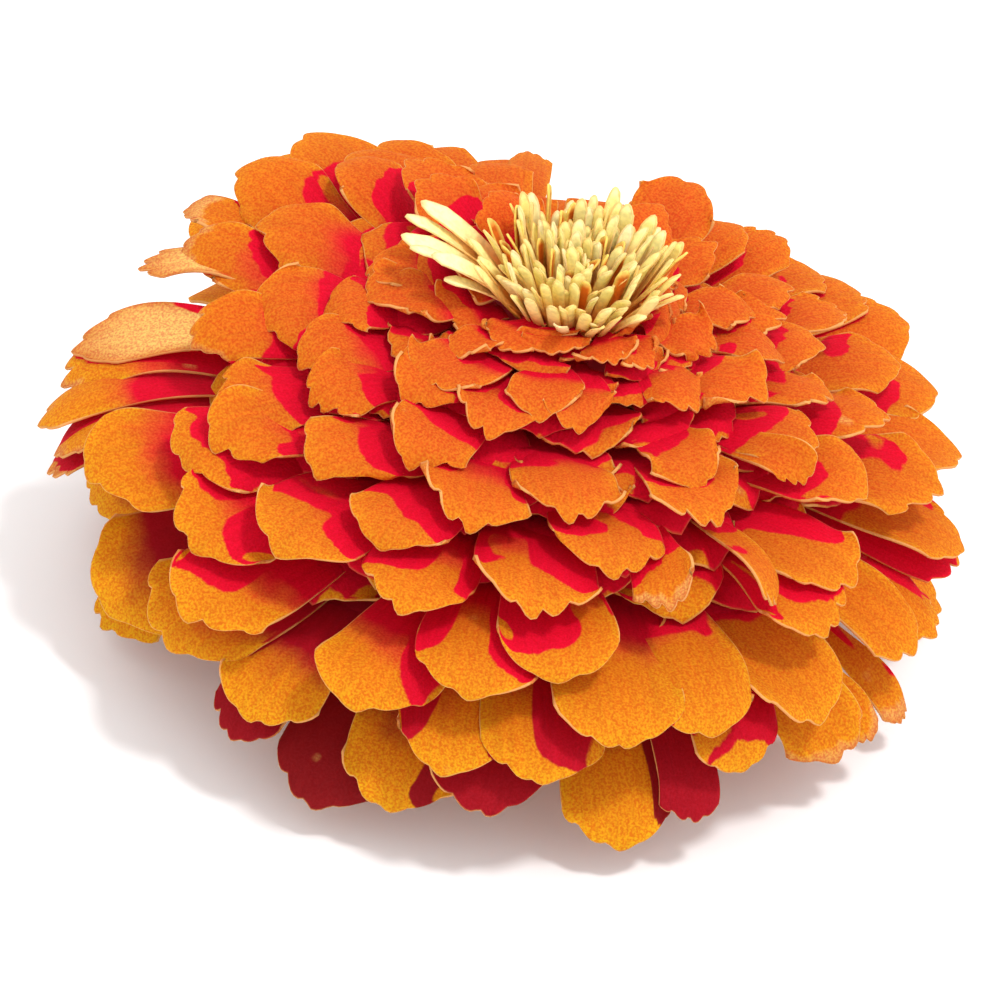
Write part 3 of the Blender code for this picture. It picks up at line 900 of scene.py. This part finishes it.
strawLook = {
    "roughness": 0.6,
    "gloss": 0.3,
    "straw": (
        (0.0, (0.93, 0.78, 0.26, 1.0)),
        (0.6, (0.97, 0.87, 0.34, 1.0)),
        (1.0, (0.98, 0.91, 0.50, 1.0)),
    ),
    # the orange foot and the red-brown rim: partly the florets' own colours, partly painted shade between
    # the straps
    "foot": (0.90, 0.36, 0.05, 1.0),
    "footEnd": (0.25, 0.78),
    "rim": (0.78, 0.30, 0.05, 1.0),
    "rimFade": (0.7, 1.0, 0.0, 0.45),
    "rust": (0.66, 0.14, 0.01, 1.0),
    "rustRim": (0.85, 0.60, 0.12, 1.0),
    "grain": 1500.0,
    "grainShade": (0.3, 0.6, 0.84, 1.05),
}


def strapPoint(strap, across, along):
    # a long strap, hollow along its middle, with a blunt rounded tip
    foot, tipFrom = tuft["foot"], tuft["tipFrom"]
    widen = foot + (1.0 - foot) * math.sin(0.5 * math.pi * min(1.0, along / tuft["fullAt"]))
    tipIn = max(0.0, (along - tipFrom) / (1.0 - tipFrom))
    width = strap["halfWidth"] * widen * (1.0 - tuft["tipIn"] * tipIn**2)
    up = along * strap["length"] - tuft["tipRound"] * strap["halfWidth"] * tipIn * across**2
    lean = strap["lean"] + strap["bow"] * along
    out = Vector((math.cos(strap["azimuth"]), math.sin(strap["azimuth"]), 0.0))
    inward = Vector((-math.cos(strap["facing"]), -math.sin(strap["facing"]), 0.0))
    side = Vector((inward.y, -inward.x, 0.0))
    axis = out * math.sin(lean) + Vector((0.0, 0.0, math.cos(lean)))
    root = out * strap["reach"] + Vector((headForm["crownShift"][0], 0.0, tuft["base"]))
    return root + axis * up + side * across * width + inward * strap["trough"] * width * across**2


def tuftStraps(dice):
    straps = []
    middle, rim = tuft["height"]
    brownMore, brownPower = tuft["brownBack"]
    for index in range(tuft["count"]):
        share = math.sqrt((index + 0.5) / tuft["count"])
        azimuth = index * goldenAngle
        behind = max(0.0, math.sin(azimuth)) ** tuft["backPower"]
        lean = tuft["lean"] + (tuft["backLean"] - tuft["lean"]) * behind
        lean *= share ** tuft["leanPower"]
        length = middle + (rim - middle) * share
        brown = tuft["brownShare"] + brownMore * behind * share**brownPower
        straps.append({
            "azimuth": azimuth,
            "reach": share * tuft["radius"],
            "facing": azimuth + dice.uniform(-tuft["facing"], tuft["facing"]),
            "length": length * (1.0 + tuft["heightSpread"] * dice.uniform(-1.0, 1.0)),
            "lean": math.radians(lean + tuft["leanSpread"] * dice.uniform(-1.0, 1.0)),
            "bow": math.radians(dice.uniform(*tuft["bow"])),
            "halfWidth": dice.uniform(*tuft["halfWidth"]),
            "trough": dice.uniform(*tuft["trough"]),
            "brown": 1.0 if dice.random() < brown else 0.0,
            "tone": dice.random(),
        })
    for side, lean, length, halfWidth in broadStraps:
        straps.append({
            "azimuth": math.radians(side),
            "reach": tuft["radius"] * broadForm["reach"],
            "facing": math.radians(side) + dice.uniform(-broadForm["facing"], broadForm["facing"]),
            "length": length,
            "lean": math.radians(lean),
            "bow": math.radians(broadForm["bow"]),
            "halfWidth": halfWidth,
            "trough": broadForm["trough"],
            "brown": 0.0,
            "tone": broadForm["palest"] + (1.0 - broadForm["palest"]) * dice.random(),
        })
    return straps


def strawFinish():
    look = strawLook
    material, tree, shader = newFinish("floretStraw", look["roughness"], look["gloss"])
    tone, brown, edge = (attributeOf(tree, key) for key in ("tone", "brown", "edge"))
    along = sheetPlace(tree)[2]
    straw = rampOf(tree, tone, look["straw"])
    # orange foot and red-brown rim, partly painted shade between the straps
    straw = blendColour(tree, greyRamp(tree, along, *look["footEnd"]), look["foot"], straw)
    straw = blendColour(tree, greyRamp(tree, edge, *look["rimFade"]), straw, look["rim"])
    rust = blendColour(tree, edge, look["rust"], look["rustRim"])
    colour = blendColour(tree, brown, straw, rust)
    grain = noiseOf(tree, objectPlace(tree), look["grain"], 1.0)
    colour = blendColour(tree, 1.0, colour, greyRamp(tree, grain, *look["grainShade"]), "MULTIPLY")
    tree.links.new(colour, shader.inputs["Base Color"])
    return material


def makeTuft():
    bm = bmesh.new()
    bm.loops.layers.uv.new("UVMap")
    tone, brown, edge = (bm.verts.layers.float.new(key) for key in ("tone", "brown", "edge"))
    columns, rows = tuft["columns"], tuft["rows"]
    for strap in tuftStraps(random.Random(tuft["seed"])):
        grid = bmesh.ops.create_grid(bm, x_segments=columns, y_segments=rows, size=1.0, calc_uvs=True)
        for vert in grid["verts"]:
            across, along = vert.co.x, (vert.co.y + 1.0) / 2.0
            vert[tone] = strap["tone"]
            vert[brown] = strap["brown"]
            vert[edge] = 1.0 if abs(across) > gridEdge or along > gridEdge else 0.0
            vert.co = strapPoint(strap, across, along) * mm
    straw = strawFinish()
    piece = finishedPiece("floretTuft", bm, [straw, straw, straw], "disc_florets")
    giveThickness(piece, tuft["thickness"] * mm)
    print("tuft made:", len(piece.data.polygons), "faces")


makeTuft()


# The green cup of bracts under the head, and the cut stem

cup = {
    "top": 21.7,  # mm above the surface
    "bottom": 9.0,
    "radius": 11.0,
    "neck": 4.6,
    "profileSteps": 8,
    "sides": 44,
    "inset": 0.1,  # mm by which the cup's body stays under the bracts
    "rows": 3,
    "perRow": 11,
    "length": 7.0,
    "halfWidth": (2.1, 2.5, 3.0),
    "tipWidth": 0.75,  # how much narrower the tip is
    "lift": (0.05, 1.0),  # mm off the cup, at the root and at the tip
    "rounding": 0.22,
    "mesh": 8,
    "darkFrom": 0.3,  # share of a bract's length from which its edge is dark
    "thickness": 0.35,
}

leafLook = {
    "roughness": 0.62,
    "streaks": (900.0, 900.0, 90.0),
    "streakEnds": (0.3, 0.7),
    "rimFade": (0.3, 0.95, 0.0, 0.9),
    "relief": 0.3,
}

# dark and pale streaks, then the rim
bractColours = ((0.07, 0.13, 0.03, 1.0), (0.16, 0.26, 0.07, 1.0), (0.035, 0.018, 0.012, 1.0))
stemColours = ((0.13, 0.21, 0.05, 1.0), (0.24, 0.36, 0.11, 1.0), (0.1, 0.1, 0.05, 1.0))


def cupSkin(up):
    return cup["neck"] + (cup["radius"] - cup["neck"]) * math.sin(0.5 * math.pi * up)


def bractPoint(row, azimuth, across, along):
    tall = cup["top"] - cup["bottom"]
    up = min(1.0, row / cup["rows"] + along * cup["length"] / tall)
    low, high = cup["lift"]
    radius = cupSkin(up) + low + (high - low) * along**2
    side = across * cup["halfWidth"][row] * math.sqrt(1.0 - cup["tipWidth"] * along**4)
    turn = azimuth + side / cupSkin(up)
    rise = cup["bottom"] + up * tall - cup["rounding"] * across**2 * along * cup["length"]
    return Vector((radius * math.cos(turn), radius * math.sin(turn), rise)) * mm


def leafGreen(name, dark, pale, rim):
    material, tree, shader = newFinish(name, leafLook["roughness"])
    streaked = stretched(tree, objectPlace(tree), leafLook["streaks"]).outputs[0]
    streaks = noiseOf(tree, streaked, 1.0)
    colour = rampOf(tree, streaks, tuple(zip(leafLook["streakEnds"], (dark, pale))))
    edge = greyRamp(tree, attributeOf(tree, "edge"), *leafLook["rimFade"])
    tree.links.new(blendColour(tree, edge, colour, rim), shader.inputs["Base Color"])
    addRelief(tree, shader, streaks, leafLook["relief"])
    return material


def makeCup():
    green = leafGreen("bractGreen", *bractColours)
    body = bmesh.new()
    body.verts.layers.float.new("edge")
    profile = [(0.0, cup["top"])]
    for step in range(cup["profileSteps"] + 1):
        up = 1.0 - step / cup["profileSteps"]
        height = cup["bottom"] + up * (cup["top"] - cup["bottom"])
        profile.append((cupSkin(up) - cup["inset"], height))
    profile.append((0.0, cup["bottom"]))
    turned(body, profile, cup["sides"])
    finishedPiece("cupBody", body, [green], "involucre")
    bm = bmesh.new()
    edge = bm.verts.layers.float.new("edge")
    for row in range(cup["rows"]):
        for index in range(cup["perRow"]):
            azimuth = math.tau * (index + 0.5 * (row % 2)) / cup["perRow"]
            grid = bmesh.ops.create_grid(bm, x_segments=cup["mesh"], y_segments=cup["mesh"], size=1.0)
            for vert in grid["verts"]:
                across, along = vert.co.x, (vert.co.y + 1.0) / 2.0
                atSide = abs(across) > gridEdge and along > cup["darkFrom"]
                vert[edge] = 1.0 if atSide or along > gridEdge else 0.0
                vert.co = bractPoint(row, azimuth, across, along)
    piece = finishedPiece("cupBracts", bm, [green, green, green], "involucre")
    giveThickness(piece, cup["thickness"] * mm)
    print("cup made:", len(piece.data.polygons), "faces")


makeCup()

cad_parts["stem"].data.materials.clear()
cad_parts["stem"].data.materials.append(leafGreen("stemGreen", *stemColours))


# Floor and light

studio = {
    "floorHalf": 1.5,  # m
    "floorColour": (0.93, 0.93, 0.93, 1.0),
    "floorRoughness": 0.9,
    "key": 1.5,
    "keyAngle": 8.0,  # degrees, how soft its shadows are
    "keyAzimuth": -40.0,  # from the right of the camera
    "keyElevation": 70.0,
    "sky": 1.25,
    "skyColour": (1.0, 1.0, 1.0, 1.0),
}


def makeFloor():
    bm = bmesh.new()
    bmesh.ops.create_grid(bm, x_segments=1, y_segments=1, size=studio["floorHalf"])
    mesh = bpy.data.meshes.new("floor")
    bm.to_mesh(mesh)
    bm.free()
    floor = bpy.data.objects.new("floor", mesh)
    material, _, shader = newFinish("paleFloor", studio["floorRoughness"], 0.0)
    shader.inputs["Base Color"].default_value = studio["floorColour"]
    mesh.materials.append(material)
    scene.collection.objects.link(floor)


def makeLight():
    data = bpy.data.lights.new("keySun", "SUN")
    data.energy = studio["key"]
    data.angle = math.radians(studio["keyAngle"])
    key = bpy.data.objects.new("keySun", data)
    side, tall = math.radians(studio["keyAzimuth"]), math.radians(studio["keyElevation"])
    towards = Vector((math.cos(side) * math.cos(tall), math.sin(side) * math.cos(tall), math.sin(tall)))
    key.rotation_mode = "QUATERNION"
    key.rotation_quaternion = towards.to_track_quat("Z", "Y")
    key.location = towards
    scene.collection.objects.link(key)
    world = bpy.data.worlds.new("softSky")
    world.use_nodes = True
    background = world.node_tree.nodes["Background"]
    background.inputs["Color"].default_value = studio["skyColour"]
    background.inputs["Strength"].default_value = studio["sky"]
    scene.world = world


makeFloor()
makeLight()
print("floor and light set")
